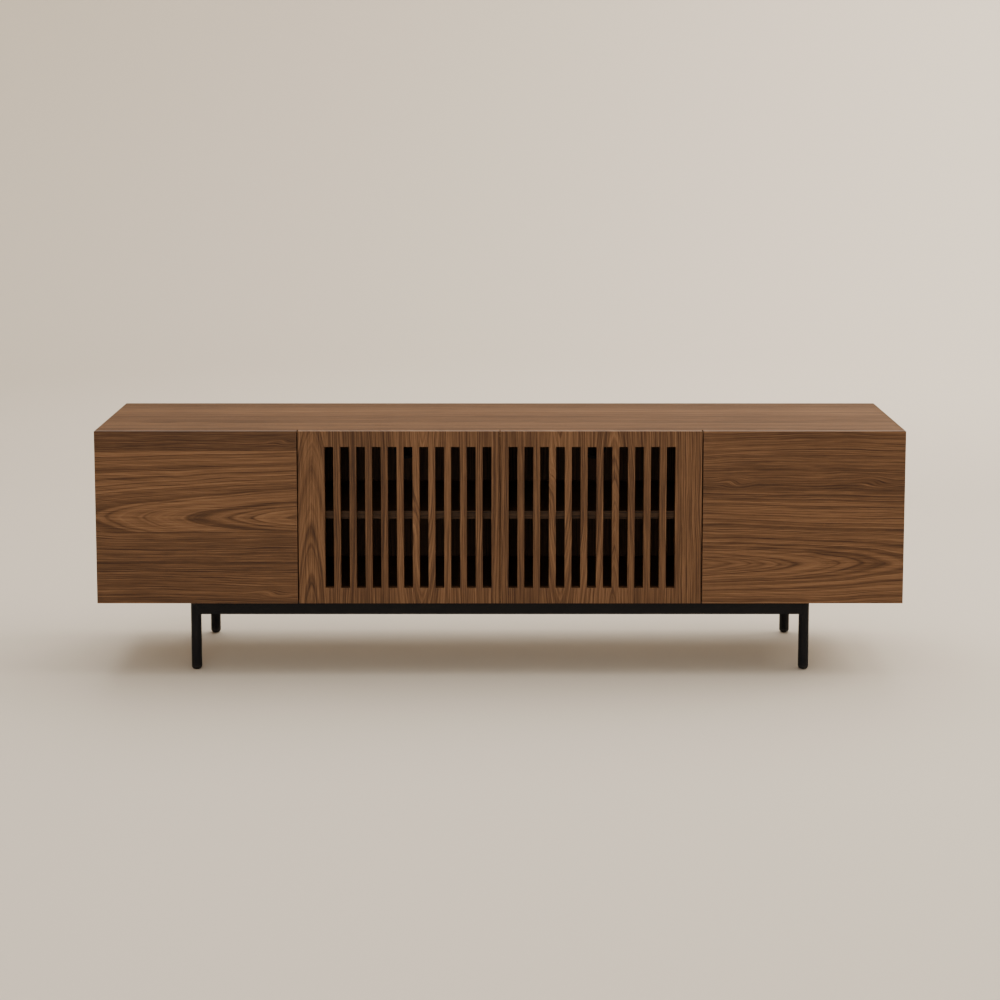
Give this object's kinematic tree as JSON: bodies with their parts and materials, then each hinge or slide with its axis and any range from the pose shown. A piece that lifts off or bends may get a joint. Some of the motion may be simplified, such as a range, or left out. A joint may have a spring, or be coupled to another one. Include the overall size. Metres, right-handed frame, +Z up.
{
  "type": "media cabinet",
  "caption": "Long low media cabinet: a wooden box with side-hung plain and slatted push-to-open doors and inner shelves on a steel leg frame.",
  "frame": {"origin": "on the floor, under the middle of the cabinet's box", "axes": "+X along the width, doors face -Y, +Z up"},
  "size_m": [2, 0.4, 0.617],
  "materials": {
    "walnut_face": "walnut veneer, matt lacquer",
    "walnut_inside": "dark walnut-coloured board, matt",
    "beech": "bare beech and plywood",
    "black_steel": "black powder coat, satin",
    "nickel_steel": "nickel plate",
    "black_plastic": "black moulded nylon"
  },
  "bodies": {
    "cabinet": {"top_board": "walnut_face", "bottom_board": "walnut_inside", "end_board_left": "walnut_face", "end_board_right": "walnut_face", "partition_left": "walnut_inside", "partition_centre": "walnut_inside", "partition_right": "walnut_inside", "back_panel_far_left": "walnut_inside", "back_panel_mid_left": "walnut_inside", "back_panel_mid_right": "walnut_inside", "back_panel_far_right": "walnut_inside", "shelf_far_left": "walnut_inside", "shelf_mid_left": "walnut_inside", "shelf_mid_right": "walnut_inside", "shelf_far_right": "walnut_inside", "shelf_pins": "nickel_steel", "dowels": "beech", "corner_tongues": "beech", "front_rail": "black_steel", "back_rail": "black_steel", "side_rail_left": "black_steel", "side_rail_right": "black_steel", "leg_front_left": "black_steel", "leg_front_right": "black_steel", "leg_back_left": "black_steel", "leg_back_right": "black_steel", "foot_glides": "black_plastic", "fixing_tabs": "black_steel", "base_screws": "nickel_steel", "hinge_arms": "nickel_steel", "hinge_plates": "nickel_steel", "plate_screws": "nickel_steel", "latch_housings": "black_plastic", "latch_screws": "nickel_steel", "cable_liners": "black_plastic"},
    "door_plain_left": {"door_plain_left": "walnut_face", "hinge_cups_plain_left": "nickel_steel", "cup_screws_plain_left": "nickel_steel", "strike_plate_plain_left": "nickel_steel"},
    "links_plain_left": {"hinge_links_plain_left": "nickel_steel"},
    "plunger_plain_left": {"latch_plunger_plain_left": "black_plastic"},
    "door_slatted_left": {"door_slatted_left": "walnut_face", "hinge_cups_slatted_left": "nickel_steel", "cup_screws_slatted_left": "nickel_steel", "strike_plate_slatted_left": "nickel_steel"},
    "links_slatted_left": {"hinge_links_slatted_left": "nickel_steel"},
    "plunger_slatted_left": {"latch_plunger_slatted_left": "black_plastic"},
    "door_slatted_right": {"door_slatted_right": "walnut_face", "hinge_cups_slatted_right": "nickel_steel", "cup_screws_slatted_right": "nickel_steel", "strike_plate_slatted_right": "nickel_steel"},
    "links_slatted_right": {"hinge_links_slatted_right": "nickel_steel"},
    "plunger_slatted_right": {"latch_plunger_slatted_right": "black_plastic"},
    "door_plain_right": {"door_plain_right": "walnut_face", "hinge_cups_plain_right": "nickel_steel", "cup_screws_plain_right": "nickel_steel", "strike_plate_plain_right": "nickel_steel"},
    "links_plain_right": {"hinge_links_plain_right": "nickel_steel"},
    "plunger_plain_right": {"latch_plunger_plain_right": "black_plastic"}
  },
  "joints": [
    {"name": "open_plain_left", "type": "hinge", "parent": "cabinet", "child": "door_plain_left", "pos_m": [-0.996, -0.1955, 0.4005], "axis": [0, 0, -1], "range_deg": [0, 95]},
    {"name": "link_plain_left", "type": "hinge", "parent": "cabinet", "child": "links_plain_left", "pos_m": [-0.976, -0.182, 0.4005], "axis": [0, 0, 1], "range_deg": [0, 65]},
    {"name": "latch_plain_left", "type": "slide", "parent": "cabinet", "child": "plunger_plain_left", "axis": [0, -1, 0], "range_m": [0, 0.014]},
    {"name": "open_slatted_left", "type": "hinge", "parent": "cabinet", "child": "door_slatted_left", "pos_m": [-0.4945, -0.1955, 0.4005], "axis": [0, 0, -1], "range_deg": [0, 95]},
    {"name": "link_slatted_left", "type": "hinge", "parent": "cabinet", "child": "links_slatted_left", "pos_m": [-0.4745, -0.182, 0.4005], "axis": [0, 0, 1], "range_deg": [0, 65]},
    {"name": "latch_slatted_left", "type": "slide", "parent": "cabinet", "child": "plunger_slatted_left", "axis": [0, -1, 0], "range_m": [0, 0.014]},
    {"name": "open_slatted_right", "type": "hinge", "parent": "cabinet", "child": "door_slatted_right", "pos_m": [0.4945, -0.1955, 0.4005], "axis": [0, 0, 1], "range_deg": [0, 95]},
    {"name": "link_slatted_right", "type": "hinge", "parent": "cabinet", "child": "links_slatted_right", "pos_m": [0.4745, -0.182, 0.4005], "axis": [0, 0, -1], "range_deg": [0, 65]},
    {"name": "latch_slatted_right", "type": "slide", "parent": "cabinet", "child": "plunger_slatted_right", "axis": [0, -1, 0], "range_m": [0, 0.014]},
    {"name": "open_plain_right", "type": "hinge", "parent": "cabinet", "child": "door_plain_right", "pos_m": [0.996, -0.1955, 0.4005], "axis": [0, 0, 1], "range_deg": [0, 95]},
    {"name": "link_plain_right", "type": "hinge", "parent": "cabinet", "child": "links_plain_right", "pos_m": [0.976, -0.182, 0.4005], "axis": [0, 0, -1], "range_deg": [0, 65]},
    {"name": "latch_plain_right", "type": "slide", "parent": "cabinet", "child": "plunger_plain_right", "axis": [0, -1, 0], "range_m": [0, 0.014]}
  ],
  "couplings": [
    {"joint": "link_plain_left", "follows": "open_plain_left", "ratio": 0.68},
    {"joint": "latch_plain_left", "follows": "open_plain_left", "m_per_rad": 0.00844},
    {"joint": "link_slatted_left", "follows": "open_slatted_left", "ratio": 0.68},
    {"joint": "latch_slatted_left", "follows": "open_slatted_left", "m_per_rad": 0.00844},
    {"joint": "link_slatted_right", "follows": "open_slatted_right", "ratio": 0.68},
    {"joint": "latch_slatted_right", "follows": "open_slatted_right", "m_per_rad": 0.00844},
    {"joint": "link_plain_right", "follows": "open_plain_right", "ratio": 0.68},
    {"joint": "latch_plain_right", "follows": "open_plain_right", "m_per_rad": 0.00844}
  ]
}
